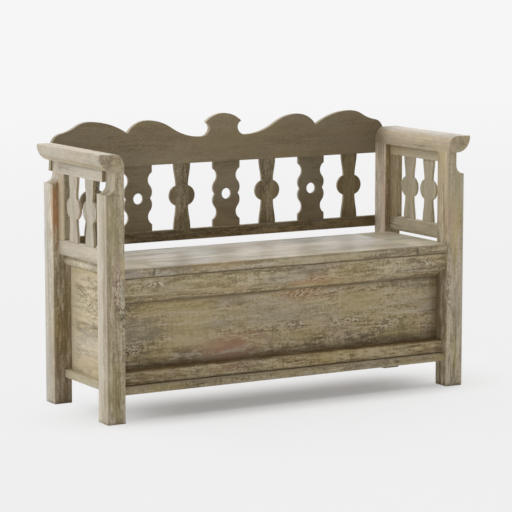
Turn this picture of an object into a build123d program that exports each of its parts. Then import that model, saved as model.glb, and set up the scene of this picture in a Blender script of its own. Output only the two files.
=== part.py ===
from build123d import *
import os

os.makedirs("parts", exist_ok=True)

# Wooden bench with a chest under a hinged seat, in millimetres.
# +X runs along the bench to the right, the sitter faces -Y, +Z is up.
bench_length = 1240.0
frame_depth = 420.0
seat_height = 450.0
seat_thickness = 28.0
fit = 0.2
edge_bevel = 2.0

# Posts: square legs, scooped out on the outer side just below the arms.
post_width = 58.0
post_depth = 62.0
post_round = 2.5
neck_height = 66.0
neck_width = 28.5
scoop_radius = 27.5
post_tenon_width = 15.0
post_tenon_depth = 34.0
post_tenon_length = 24.0

# Arms: rounded on the inner side, hollowed to a thin tip on the outer side.
arm_height = 734.0
arm_thickness = 51.0
arm_overhang = 22.0
arm_lip = 4.0
arm_round_width = 31.0
arm_round_drop = 37.0
arm_end_bevel = 1.5

# Open panel in each arm side.
panel_thickness = 20.0
panel_set_in = 18.5
panel_gap = 7.0
panel_bottom_rail = 45.0
panel_top_rail = 33.5
panel_stile = 40.0
panel_tongue = 5.0
panel_tongue_height = 7.0
panel_tenon = 8.0
panel_tenon_length = 20.0
baluster_pitch = 108.0
baluster_from_post = 95.5
baluster_set_in = 3.5

# Back boards, planted on the rear of the back posts.
board_thickness = 15.0
board_lap = 30.0
crest_flare = 4.0
crest_drop = 33.0
lower_rail_gap = 12.0
lower_rail_height = 34.0

# Outline of the crest, as heights above its lower edge and widths from its middle.
finial_rise = 150.5
ear_width = 63.0
ear_rise = 124.0
waist_width = 50.5
waist_rise = 100.0
dip_width = 76.0
dip_rise = 80.5
slope_rise = 112.5
inner_rise = 138.0
cusp_rise = 100.5
outer_rise = 141.0
ogee_from_end = 80.0
ogee_rise = 127.5
shelf_from_end = 32.0
shelf_rise = 109.0
end_rise = 71.0

# Splats and balusters, cut from thin board.
splat_thickness = 8.0
disc_pitch = 306.0
disc_shift = 6.5
pierced_pitch = 310.5
pierced_shift = 11.0
splat_tenon_inset = 8.0
splat_tenon_length = 12.0
pierced_end = 47.5
pierced_hollow = 33.5
pierced_turn = 40.0
pierced_cusp = 40.5
pierced_hole = 17.0
disc_end = 28.5
disc_waist = 20.5
disc_width = 44.0
disc_rise = 31.0
disc_lift = 2.5

# Chest.
panel_board = 18.0
panel_lap = 10.0
leg_clear = 80.0
bottom_rail_height = 24.0
bottom_rail_set_back = 13.5
side_rail_set_in = 35.0
top_rail_set_back = 9.5
top_rail_height = 51.0
cove_drop = 30.0
cove_sag = 5.0
cove_fillet = 6.0
plinth_set_back = 25.0
plinth_height = 42.0
plinth_round = 12.0
plinth_bevel = 4.0
rail_tenon_length = 30.0
rail_tenon_thickness = 14.0
rail_tenon_inset = 8.0
side_tenon_length = 20.0
bottom_tenon_width = 20.0
bottom_tenon_inset = 6.0
batten = 22.0
bearer = 18.0
floor_board = 12.0
floor_boards = 8
floor_gap = 2.0

# Seat: two fixed ends and a lid of three planks on cleats.
seat_front_set_back = 4.0
seat_wing = 23.0
seat_nose = 13.0
seat_front_round = 5.0
lid_half = 456.5
lid_shift = -7.0
lid_gap = 1.0
plank_gap = 0.3
cleat_width = 44.0
cleat_thickness = 18.0
cleat_clear = 8.0
cleat_back_clear = 20.0
cleat_spread = 200.0
cleat_bevel = 5.0

# Butt hinges, let into the lid and the top edge of the back panel.
hinge_length = 66.0
hinge_spread = 300.0
leaf_width = 16.0
leaf_thickness = 1.5
knuckle_radius = 3.0
knuckle_clear = 0.2
knuckle_gap = 0.2
pin_radius = 1.5
pin_clear = 0.05
hinge_nail_spread = 20.0
hinge_nail_width = 3.0
hinge_nail_head = 5.4
hinge_nail_length = 14.0

# Square cut nails through the back boards.
board_nail_width = 4.4
board_nail_head = 9.2
board_nail_length = 42.0
nail_clear = 0.1

outer_x = bench_length / 2
inner_x = outer_x - post_width
neck_x = inner_x + neck_width
shoulder_height = arm_height - neck_height
scoop_out = neck_x + scoop_radius + post_width
front_y = -(frame_depth + board_thickness) / 2
rear_y = front_y + frame_depth
front_post_back = front_y + post_depth
back_post_front = rear_y - post_depth
front_post_middle = front_y + post_depth / 2
back_post_middle = rear_y - post_depth / 2
seat_bottom = seat_height - seat_thickness
arm_top = arm_height + arm_thickness
arm_tip = outer_x + arm_overhang
arm_hollow = arm_thickness - arm_lip

panel_out = outer_x - panel_set_in
panel_in = panel_out - panel_thickness
panel_middle = (panel_in + panel_out) / 2
baluster_out = panel_out - baluster_set_in
baluster_in = baluster_out - splat_thickness
panel_low = seat_height + panel_gap
opening_low = panel_low + panel_bottom_rail
opening_high = arm_height - panel_top_rail

crest_half = inner_x + board_lap
crest_bottom = arm_height - crest_drop
lower_rail_low = seat_height + lower_rail_gap
lower_rail_high = lower_rail_low + lower_rail_height
splat_front = rear_y + (board_thickness - splat_thickness) / 2

chest_low = leg_clear + bottom_rail_height
chest_front = front_post_back
chest_back = back_post_front
inside_front = chest_front + panel_board
inside_back = chest_back - panel_board
inside_middle = (inside_front + inside_back) / 2
inside_x = inner_x - panel_board
floor_low = chest_low + bearer
floor_high = floor_low + floor_board
side_rail_out = outer_x - side_rail_set_in
side_tenon_middle = (inner_x + side_rail_out) / 2
top_rail_front = front_y + top_rail_set_back
top_rail_low = seat_bottom - top_rail_height
plinth_front = front_y + plinth_set_back
bottom_rail_front = front_y + bottom_rail_set_back
bottom_rail_back = rear_y - bottom_rail_set_back

seat_front = front_y + seat_front_set_back
plank_width = (chest_back - seat_front - 2 * plank_gap) / 3

axis_y = chest_back + knuckle_radius + knuckle_clear
axis_z = seat_bottom
hinge_places = {"left": lid_shift - hinge_spread, "right": lid_shift + hinge_spread}
leaf_front = chest_back - leaf_width
leaf_clear_y = axis_y - knuckle_radius - 2 * knuckle_clear
knuckle_length = hinge_length / 3
hinge_nail_y = chest_back - leaf_width / 2

corner = (Align.MIN, Align.MIN, Align.MIN)
driven = (Align.CENTER, Align.MIN, Align.CENTER)


def finish(piece, name):
    piece.part.label = name
    export_step(piece.part, f"parts/{name}.step")


# Upright plane at a given depth, seen from the front.
def facing(depth):
    return Plane.XZ.offset(-depth)


def block(low, high, mode=Mode.ADD):
    with Locations(low):
        Box(high[0] - low[0], high[1] - low[1], high[2] - low[2], align=corner, mode=mode)


# Mortise for a tenon of the given extent.
def socket(low, high):
    block(tuple(a - fit for a in low), tuple(b + fit for b in high), Mode.SUBTRACT)


def post_tenon(middle):
    x = inner_x + neck_width / 2
    low = (x - post_tenon_width / 2, middle - post_tenon_depth / 2, arm_height)
    high = (x + post_tenon_width / 2, middle + post_tenon_depth / 2, arm_height + post_tenon_length)
    return low, high


# Tenon that runs toward -Y or +Y out of a rail between two posts.
def cross_tenon(middle, thickness, start, length, low, high):
    y = sorted((start, start + length))
    return (middle - thickness / 2, y[0], low), (middle + thickness / 2, y[1], high)


front_post_tenon = post_tenon(front_post_middle)
back_post_tenon = post_tenon(back_post_middle)

arm_rail_low = panel_low + rail_tenon_inset
arm_rail_high = opening_low - rail_tenon_inset
arm_front_tenon = cross_tenon(
    panel_middle, panel_tenon, front_post_back, -panel_tenon_length, arm_rail_low, arm_rail_high
)
arm_back_tenon = cross_tenon(
    panel_middle, panel_tenon, back_post_front, panel_tenon_length, arm_rail_low, arm_rail_high
)

bottom_tenon_low = leg_clear + bottom_tenon_inset
bottom_tenon_high = chest_low - bottom_tenon_inset
bottom_tenon = bottom_tenon_low, bottom_tenon_high
side_front_tenon = cross_tenon(
    side_tenon_middle, rail_tenon_thickness, front_post_back, -side_tenon_length, *bottom_tenon
)
side_back_tenon = cross_tenon(
    side_tenon_middle, rail_tenon_thickness, back_post_front, side_tenon_length, *bottom_tenon
)

top_tenon_front = top_rail_front + rail_tenon_inset
top_rail_tenon = (
    (inner_x, top_tenon_front, top_rail_low + rail_tenon_inset),
    (inner_x + rail_tenon_length, top_tenon_front + rail_tenon_thickness, seat_bottom - rail_tenon_inset),
)
front_tenon_y = bottom_rail_front + bottom_tenon_inset
front_bottom_tenon = (
    (inner_x, front_tenon_y, bottom_tenon_low),
    (inner_x + rail_tenon_length, front_tenon_y + bottom_tenon_width, bottom_tenon_high),
)
back_tenon_y = bottom_rail_back - bottom_tenon_inset
back_bottom_tenon = (
    (inner_x, back_tenon_y - bottom_tenon_width, bottom_tenon_low),
    (inner_x + rail_tenon_length, back_tenon_y, bottom_tenon_high),
)

# Nail heads on the right half of the back, on the rear faces of the boards.
board_rear = rear_y + board_thickness
board_nails = [
    (inner_x + neck_width * 0.3, board_rear, crest_bottom + crest_drop * 0.3),
    (inner_x + neck_width * 0.7, board_rear, crest_bottom + crest_drop * 0.7),
    (inner_x + board_lap * 0.3, board_rear, lower_rail_low + lower_rail_height * 0.35),
    (inner_x + board_lap * 0.7, board_rear, lower_rail_low + lower_rail_height * 0.65),
]
forward = (0, 0, 180)
downward = (-90, 0, 0)
upward = (90, 0, 0)


# Square nails with flared heads, driven in from the given spots.
def nails(spots, way, width, head, length, clear=0.0, mode=Mode.ADD):
    shank = width + 2 * clear
    mouth = head + 2 * clear
    flare = (head - width) / 2
    far = flare + shank
    with Locations(*spots):
        Box(shank, length + clear, shank, rotation=way, align=driven, mode=mode)
        Wedge(mouth, flare, mouth, flare, flare, far, far, rotation=way, align=driven, mode=mode)


# Holes for the back boards' nails, a little wider than the nails.
def board_nail_holes(spots):
    nails(spots, forward, board_nail_width, board_nail_head, board_nail_length, nail_clear, Mode.SUBTRACT)


def both_sides(spots):
    return spots + [(-x, y, z) for x, y, z in spots]


def make_post(front, top_tenon, tenons):
    with BuildPart() as post:
        with BuildSketch():
            with Locations((inner_x + post_width / 2, front + post_depth / 2)):
                RectangleRounded(post_width, post_depth, post_round)
        extrude(amount=arm_height)
        with BuildSketch(facing(front)):
            with BuildLine():
                CenterArc((neck_x + scoop_radius, shoulder_height + scoop_radius), scoop_radius, 180, 90)
                Polyline(
                    (neck_x + scoop_radius, shoulder_height),
                    (scoop_out, shoulder_height),
                    (scoop_out, arm_height),
                    (neck_x, arm_height),
                    (neck_x, shoulder_height + scoop_radius),
                )
            make_face()
        extrude(amount=-post_depth, mode=Mode.SUBTRACT)
        block(*top_tenon)
        for tenon in tenons:
            socket(*tenon)
        if front == back_post_front:
            board_nail_holes(board_nails)
    return post


# Right side pieces; the left side is their mirror image.
front_tenons = [top_rail_tenon, front_bottom_tenon, side_front_tenon, arm_front_tenon]
back_tenons = [back_bottom_tenon, side_back_tenon, arm_back_tenon]
front_post = make_post(front_y, front_post_tenon, front_tenons)
back_post = make_post(back_post_front, back_post_tenon, back_tenons)

with BuildPart() as arm:
    with BuildSketch(facing(front_y)):
        with BuildLine():
            Line((inner_x, arm_height), (inner_x, arm_top - arm_round_drop))
            EllipticalCenterArc(
                (inner_x + arm_round_width, arm_top - arm_round_drop),
                arm_round_width,
                arm_round_drop,
                start_angle=90,
                arc_size=90,
            )
            Polyline((inner_x + arm_round_width, arm_top), (arm_tip, arm_top), (arm_tip, arm_top - arm_lip))
            CenterArc((arm_tip - arm_hollow, arm_top - arm_lip), arm_hollow, 270, 90)
            Line((arm_tip - arm_hollow, arm_height), (inner_x, arm_height))
        make_face()
    extrude(amount=-frame_depth)
    chamfer(arm.edges().filter_by(Axis.Y).group_by(Axis.X)[-1].sort_by(Axis.Z)[-1], edge_bevel)
    ends = arm.faces().sort_by(Axis.Y)
    chamfer(ends[0].edges() + ends[-1].edges(), arm_end_bevel)
    socket(*front_post_tenon)
    socket(*back_post_tenon)
    socket(
        (panel_in, front_post_back, arm_height),
        (panel_in + panel_tongue, back_post_front, arm_height + panel_tongue_height),
    )

stile_front = back_post_front - panel_stile
stile_middle = back_post_front - panel_stile / 2
rear_baluster_y = back_post_front - baluster_from_post
baluster_places = {"rear": rear_baluster_y, "front": rear_baluster_y - baluster_pitch}
stile_tenon_low = (
    (panel_middle - panel_tenon / 2, stile_middle - panel_stile / 4, opening_low - splat_tenon_length),
    (panel_middle + panel_tenon / 2, stile_middle + panel_stile / 4, opening_low),
)
stile_tenon_high = (
    (panel_middle - panel_tenon / 2, stile_middle - panel_stile / 4, opening_high),
    (panel_middle + panel_tenon / 2, stile_middle + panel_stile / 4, opening_high + splat_tenon_length),
)


def baluster_tenons(y):
    half = disc_end - splat_tenon_inset
    low = (baluster_in, y - half, opening_low - splat_tenon_length), (baluster_out, y + half, opening_low)
    high = (baluster_in, y - half, opening_high), (baluster_out, y + half, opening_high + splat_tenon_length)
    return low, high


with BuildPart() as arm_top_rail:
    block((panel_in, front_post_back, opening_high), (panel_out, back_post_front, arm_height))
    block(
        (panel_in, front_post_back, arm_height),
        (panel_in + panel_tongue, back_post_front, arm_height + panel_tongue_height),
    )
    socket(*stile_tenon_high)
    for y in baluster_places.values():
        socket(*baluster_tenons(y)[1])

with BuildPart() as arm_bottom_rail:
    block((panel_in, front_post_back, panel_low), (panel_out, back_post_front, opening_low))
    chamfer(arm_bottom_rail.edges().filter_by(Axis.Y), edge_bevel)
    block(*arm_front_tenon)
    block(*arm_back_tenon)
    socket(*stile_tenon_low)
    for y in baluster_places.values():
        socket(*baluster_tenons(y)[0])

with BuildPart() as arm_stile:
    block((panel_in, stile_front, opening_low), (panel_out, back_post_front, opening_high))
    chamfer(arm_stile.edges().filter_by(Axis.Z).group_by(Axis.Y)[0], edge_bevel)
    block(*stile_tenon_low)
    block(*stile_tenon_high)


# Thin board with a round swelling at half its height and ends that widen again.
def disc_outline(plane, low, high):
    middle = (low + high) / 2 + disc_lift
    under = (disc_waist, middle - disc_rise)
    over = (disc_waist, middle + disc_rise)
    with BuildSketch(plane) as outline:
        with BuildLine():
            Line((0, low), (disc_end, low))
            Spline((disc_end, low), under, tangents=((0, 1), (0, 1)))
            ThreePointArc(under, (disc_width, middle), over)
            Spline(over, (disc_end, high), tangents=((0, 1), (0, 1)))
            Line((disc_end, high), (0, high))
            mirror(about=Plane.YZ)
        make_face()
    return outline.sketch


# Wide board, straight at both ends, scooped and then swelling to a cusp at half its height.
def pierced_outline(plane, low, high):
    tall = high - low
    middle = (low + high) / 2
    square = low + tall * 0.108
    deepest = low + tall * 0.222
    turn = low + tall * 0.306
    with BuildSketch(plane) as outline:
        with BuildLine():
            Polyline((0, low), (pierced_end, low), (pierced_end, square))
            hollow = ThreePointArc((pierced_end, square), (pierced_hollow, deepest), (pierced_turn, turn))
            TangentArc((pierced_turn, turn), (pierced_cusp, middle), tangent=hollow % 1)
            mirror(about=Plane.XZ.offset(-middle))
            mirror(about=Plane.YZ)
        make_face()
        with Locations((0, middle)):
            Circle(pierced_hole, mode=Mode.SUBTRACT)
    return outline.sketch


balusters = {}
for place, y in baluster_places.items():
    with BuildPart() as baluster:
        plane = Plane((baluster_in, y, 0), x_dir=(0, 1, 0), z_dir=(1, 0, 0))
        extrude(disc_outline(plane, opening_low, opening_high), amount=splat_thickness)
        for tenon in baluster_tenons(y):
            block(*tenon)
    balusters[place] = baluster

# The side panels lap the inner sides of the back posts.
with BuildPart() as side_panel:
    block((inside_x, inside_front, chest_low), (inner_x, chest_back + panel_lap, seat_bottom))

with BuildPart() as side_bottom_rail:
    block((inner_x, front_post_back, leg_clear), (side_rail_out, back_post_front, chest_low))
    chamfer(side_bottom_rail.edges().filter_by(Axis.Y).group_by(Axis.X)[-1], edge_bevel)
    block((inside_x, inside_front, leg_clear), (inner_x, inside_back, chest_low))
    block(*side_front_tenon)
    block(*side_back_tenon)

with BuildPart() as front_batten:
    block((inside_x - batten, inside_front, floor_high), (inside_x, inside_front + batten, seat_bottom))

with BuildPart() as back_batten:
    block((inside_x - batten, inside_back - batten, floor_high), (inside_x, inside_back, seat_bottom))

right_pieces = {
    "front_post": front_post,
    "back_post": back_post,
    "arm": arm,
    "arm_top_rail": arm_top_rail,
    "arm_bottom_rail": arm_bottom_rail,
    "arm_stile": arm_stile,
    "rear_baluster": balusters["rear"],
    "front_baluster": balusters["front"],
    "side_panel": side_panel,
    "side_bottom_rail": side_bottom_rail,
    "front_batten": front_batten,
    "back_batten": back_batten,
}
for name, piece in right_pieces.items():
    finish(piece, f"right_{name}")
    with BuildPart() as twin:
        mirror(piece.part, about=Plane.YZ)
    finish(twin, f"left_{name}")

# Seat ends, notched round the posts and running out over the side panels.
for name, side in (("left", -1), ("right", 1)):
    joint = lid_half + lid_gap + side * lid_shift
    with BuildPart() as seat_end:
        with BuildSketch(Plane.XY.offset(seat_bottom)):
            with BuildLine():
                Polyline(
                    (side * joint, seat_front),
                    (side * (inner_x - fit), seat_front),
                    (side * (inner_x - fit), front_post_back + fit),
                    (side * (inner_x + seat_wing), front_post_back + fit),
                    (side * (inner_x + seat_wing), back_post_front - fit),
                    (side * joint, back_post_front - fit),
                    close=True,
                )
            make_face()
        extrude(amount=seat_thickness)
        outermost = seat_end.edges().filter_by(Axis.Y).group_by(Axis.X)[-1 if side > 0 else 0]
        fillet(outermost, seat_nose)
        fillet(seat_end.edges().filter_by(Axis.X).group_by(Axis.Y)[0], seat_front_round)
    finish(seat_end, f"{name}_seat_end")

# Splats: discs at both ends of the row, pierced boards between them.
splats = []
for count in range(7):
    pierced = count % 2 == 1
    if pierced:
        kind = "pierced"
        x = pierced_shift + (count // 2 - 1) * pierced_pitch
        half = pierced_end - splat_tenon_inset
    else:
        kind = "disc"
        x = disc_shift + (count / 2 - 1.5) * disc_pitch
        half = disc_end - splat_tenon_inset
    depth = splat_front, splat_front + splat_thickness
    low = (x - half, depth[0], lower_rail_high - splat_tenon_length), (x + half, depth[1], lower_rail_high)
    high = (x - half, depth[0], crest_bottom), (x + half, depth[1], crest_bottom + splat_tenon_length)
    splats.append((f"{kind}_splat_{count // 2 + 1}", x, pierced, low, high))

for name, x, pierced, low, high in splats:
    with BuildPart() as splat:
        plane = Plane((x, splat_front, 0), x_dir=(1, 0, 0), z_dir=(0, -1, 0))
        outline = pierced_outline if pierced else disc_outline
        extrude(outline(plane, lower_rail_high, crest_bottom), amount=-splat_thickness)
        block(*low)
        block(*high)
    finish(splat, name)

finial_top = (0, crest_bottom + finial_rise)
ear = (ear_width, crest_bottom + ear_rise)
waist = (waist_width, crest_bottom + waist_rise)
dip_end = (dip_width, crest_bottom + dip_rise)
slope = (crest_half * 0.3125, crest_bottom + slope_rise)
inner_peak = (crest_half * 0.4527, crest_bottom + inner_rise)
cusp = (crest_half * 0.5676, crest_bottom + cusp_rise)
outer_peak = (crest_half * 0.787, crest_bottom + outer_rise)
ogee = (crest_half - ogee_from_end, crest_bottom + ogee_rise)
shelf = (crest_half - shelf_from_end, crest_bottom + shelf_rise)
crest_end = (crest_half, crest_bottom + end_rise)

with BuildPart() as crest_rail:
    with BuildSketch(facing(rear_y)):
        with BuildLine():
            Polyline((0, crest_bottom), (crest_half + crest_flare, crest_bottom), crest_end)
            TangentArc(outer_peak, cusp, tangent=(-1, 0))
            outer_fall = TangentArc(outer_peak, ogee, tangent=(1, 0))
            hollow = TangentArc(ogee, shelf, tangent=outer_fall % 1)
            TangentArc(shelf, crest_end, tangent=hollow % 1)
            TangentArc(inner_peak, cusp, tangent=(1, 0))
            inner_fall = TangentArc(inner_peak, slope, tangent=(-1, 0))
            dip = TangentArc(slope, dip_end, tangent=inner_fall % 1)
            neck = TangentArc(dip_end, waist, tangent=dip % 1)
            TangentArc(waist, ear, tangent=neck % 1)
            TangentArc(finial_top, ear, tangent=(1, 0))
            mirror(about=Plane.YZ)
        make_face()
    extrude(amount=-board_thickness)
    for name, x, pierced, low, high in splats:
        socket(*high)
    board_nail_holes(both_sides(board_nails[:2]))
finish(crest_rail, "crest_rail")

with BuildPart() as lower_back_rail:
    block((-crest_half, rear_y, lower_rail_low), (crest_half, rear_y + board_thickness, lower_rail_high))
    chamfer(lower_back_rail.edges().filter_by(Axis.X).group_by(Axis.Y)[0], edge_bevel)
    for name, x, pierced, low, high in splats:
        socket(*low)
    board_nail_holes(both_sides(board_nails[2:]))
finish(lower_back_rail, "lower_back_rail")

with BuildPart() as back_board_nails:
    nails(both_sides(board_nails), forward, board_nail_width, board_nail_head, board_nail_length)
finish(back_board_nails, "back_board_nails")


# Tenons at both ends of a piece that runs from post to post.
def end_tenons(low, high):
    block(low, high)
    block((-high[0], low[1], low[2]), (-low[0], high[1], high[2]))


# Front of the chest: a rail whose underside sweeps back to the panel in a cove.
with BuildPart() as front_top_rail:
    lip = (chest_front - cove_fillet, top_rail_low - cove_drop + cove_fillet)
    sag = ((top_rail_front + lip[0]) / 2, (top_rail_low + lip[1]) / 2 + cove_sag)
    with BuildSketch(Plane.YZ.offset(-inner_x)):
        with BuildLine():
            Polyline(
                (top_rail_front, top_rail_low),
                (top_rail_front, seat_bottom),
                (chest_front, seat_bottom),
                (chest_front, top_rail_low - cove_drop),
                (lip[0], top_rail_low - cove_drop),
                lip,
            )
            ThreePointArc(lip, sag, (top_rail_front, top_rail_low))
        make_face()
    extrude(amount=2 * inner_x)
    chamfer(front_top_rail.edges().filter_by(Axis.X).group_by(Axis.Y)[0], edge_bevel)
    end_tenons(*top_rail_tenon)
finish(front_top_rail, "front_top_rail")

# The front panel laps the rear faces of the front posts.
with BuildPart() as front_panel:
    front_half = inner_x + panel_lap
    block((-front_half, chest_front, chest_low), (front_half, inside_front, seat_bottom))
finish(front_panel, "front_panel")

with BuildPart() as plinth_moulding:
    plinth_high = chest_low + plinth_height
    with BuildSketch(Plane.YZ.offset(-inner_x)):
        with BuildLine():
            Polyline(
                (plinth_front + plinth_round, plinth_high),
                (chest_front, plinth_high),
                (chest_front, chest_low),
                (plinth_front + plinth_bevel, chest_low),
                (plinth_front, chest_low + plinth_bevel),
                (plinth_front, plinth_high - plinth_round),
            )
            CenterArc((plinth_front + plinth_round, plinth_high - plinth_round), plinth_round, 90, 90)
        make_face()
    extrude(amount=2 * inner_x)
finish(plinth_moulding, "plinth_moulding")

with BuildPart() as front_bottom_rail:
    block((-inner_x, bottom_rail_front, leg_clear), (inner_x, inside_front, chest_low))
    chamfer(front_bottom_rail.edges().filter_by(Axis.X).group_by(Axis.Y)[0], edge_bevel)
    end_tenons(*front_bottom_tenon)
finish(front_bottom_rail, "front_bottom_rail")

with BuildPart() as back_bottom_rail:
    block((-inner_x, inside_back, leg_clear), (inner_x, bottom_rail_back, chest_low))
    chamfer(back_bottom_rail.edges().filter_by(Axis.X).group_by(Axis.Y)[-1], edge_bevel)
    end_tenons(*back_bottom_tenon)
finish(back_bottom_rail, "back_bottom_rail")


# Shallow recess for one hinge leaf.
def leaf_seat(x, low, high):
    half = hinge_length / 2 + fit
    block((x - half, leaf_front - fit, low), (x + half, chest_back + fit, high), Mode.SUBTRACT)


# Nails of the hinge leaves start where the two leaves meet.
hinge_nails = [
    (x + side * hinge_nail_spread, hinge_nail_y, axis_z) for x in hinge_places.values() for side in (-1, 1)
]


def hinge_nail_holes(way):
    nails(hinge_nails, way, hinge_nail_width, hinge_nail_head, hinge_nail_length, nail_clear, Mode.SUBTRACT)


with BuildPart() as back_panel:
    block((-inside_x, inside_back, chest_low), (inside_x, chest_back, seat_bottom))
    for x in hinge_places.values():
        leaf_seat(x, seat_bottom - leaf_thickness, seat_bottom + 1)
    hinge_nail_holes(downward)
finish(back_panel, "back_panel")

with BuildPart() as front_bearer:
    block((-inside_x, inside_front, chest_low), (inside_x, inside_front + bearer, floor_low))
finish(front_bearer, "front_bearer")

with BuildPart() as back_bearer:
    block((-inside_x, inside_back - bearer, chest_low), (inside_x, inside_back, floor_low))
finish(back_bearer, "back_bearer")

with BuildPart() as floor:
    pitch = 2 * inside_x / floor_boards
    with BuildSketch(Plane.XY.offset(floor_low)):
        with Locations((0, inside_middle)):
            with GridLocations(pitch, 0, floor_boards, 1):
                Rectangle(pitch - floor_gap, inside_back - inside_front - 2 * fit)
    extrude(amount=floor_board)
finish(floor, "floor_boards")

# Lid planks, from the front to the hinges.
for count, name in enumerate(("front", "middle", "back")):
    start = seat_front + count * (plank_width + plank_gap)
    stop = start + plank_width
    with BuildPart() as plank:
        block((lid_shift - lid_half, start, seat_bottom), (lid_shift + lid_half, stop, seat_height))
        if name == "front":
            fillet(plank.edges().filter_by(Axis.X).group_by(Axis.Y)[0], seat_front_round)
        if name == "back":
            for x in hinge_places.values():
                leaf_seat(x, seat_bottom - 1, seat_bottom + leaf_thickness)
            hinge_nail_holes(upward)
    finish(plank, f"lid_{name}_plank")

for name, x in (("left", lid_shift - cleat_spread), ("right", lid_shift + cleat_spread)):
    with BuildPart() as cleat:
        block(
            (x - cleat_width / 2, inside_front + cleat_clear, seat_bottom - cleat_thickness),
            (x + cleat_width / 2, inside_back - cleat_back_clear, seat_bottom),
        )
        chamfer(cleat.edges().group_by(Axis.Z)[0], cleat_bevel)
    finish(cleat, f"lid_{name}_cleat")

# Hinges: the fixed leaf has two knuckles, the lid's leaf has one between them.
along_x = (0, 90, 0)


def knuckle(x, length):
    with Locations((x, axis_y, axis_z)):
        Cylinder(knuckle_radius, length, rotation=along_x)


def leaf_bores(x):
    with Locations((x, axis_y, axis_z)):
        Cylinder(pin_radius + pin_clear, 2 * hinge_length, rotation=along_x, mode=Mode.SUBTRACT)


for name, x in hinge_places.items():
    half = hinge_length / 2
    inner = knuckle_length / 2
    with BuildPart() as frame_leaf:
        block((x - half, leaf_front, axis_z - leaf_thickness), (x + half, leaf_clear_y, axis_z))
        for side in (-1, 1):
            reach = sorted((x + side * (inner + knuckle_gap), x + side * half))
            block((reach[0], leaf_clear_y, axis_z - leaf_thickness), (reach[1], axis_y, axis_z))
            knuckle(sum(reach) / 2, reach[1] - reach[0])
        leaf_bores(x)
        hinge_nail_holes(downward)
    finish(frame_leaf, f"hinge_frame_leaf_{name}")
    with BuildPart() as lid_leaf:
        block((x - half, leaf_front, axis_z), (x + half, leaf_clear_y, axis_z + leaf_thickness))
        block((x - inner, leaf_clear_y, axis_z), (x + inner, axis_y, axis_z + leaf_thickness))
        knuckle(x, 2 * inner)
        leaf_bores(x)
        hinge_nail_holes(upward)
    finish(lid_leaf, f"hinge_lid_leaf_{name}")

with BuildPart() as hinge_pins:
    with Locations(*[(x, axis_y, axis_z) for x in hinge_places.values()]):
        Cylinder(pin_radius, hinge_length, rotation=along_x)
finish(hinge_pins, "hinge_pins")

with BuildPart() as hinge_frame_nails:
    nails(hinge_nails, downward, hinge_nail_width, hinge_nail_head, hinge_nail_length)
finish(hinge_frame_nails, "hinge_frame_nails")

with BuildPart() as hinge_lid_nails:
    nails(hinge_nails, upward, hinge_nail_width, hinge_nail_head, hinge_nail_length)
finish(hinge_lid_nails, "hinge_lid_nails")
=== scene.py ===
import bpy
import math
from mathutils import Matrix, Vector


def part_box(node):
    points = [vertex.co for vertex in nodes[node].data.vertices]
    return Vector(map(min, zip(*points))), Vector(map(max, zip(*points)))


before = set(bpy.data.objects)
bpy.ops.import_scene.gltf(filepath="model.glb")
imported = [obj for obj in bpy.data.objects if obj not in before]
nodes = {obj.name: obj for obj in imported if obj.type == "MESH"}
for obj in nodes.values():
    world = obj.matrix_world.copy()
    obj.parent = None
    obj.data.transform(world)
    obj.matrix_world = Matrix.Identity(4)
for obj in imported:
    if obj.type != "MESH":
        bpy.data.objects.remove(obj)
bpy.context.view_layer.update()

bpy.ops.object.select_all(action="DESELECT")
print("frame loaded,", len(nodes), "nodes")


# a socket that can be added to, taken from and multiplied
class Wire:
    def __init__(self, finish, socket):
        self.finish = finish
        self.socket = socket

    def work(self, operation, *others):
        return self.finish.node("ShaderNodeMath", {"operation": operation}, [self, *others])

    def __add__(self, other):
        return self.work("ADD", other)

    def __sub__(self, other):
        return self.work("SUBTRACT", other)

    def __rsub__(self, other):
        return self.finish.node("ShaderNodeMath", {"operation": "SUBTRACT"}, [other, self])

    def __mul__(self, other):
        return self.work("MULTIPLY", other)

    def __abs__(self):
        return self.work("ABSOLUTE")

    __radd__ = __add__
    __rmul__ = __mul__


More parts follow.
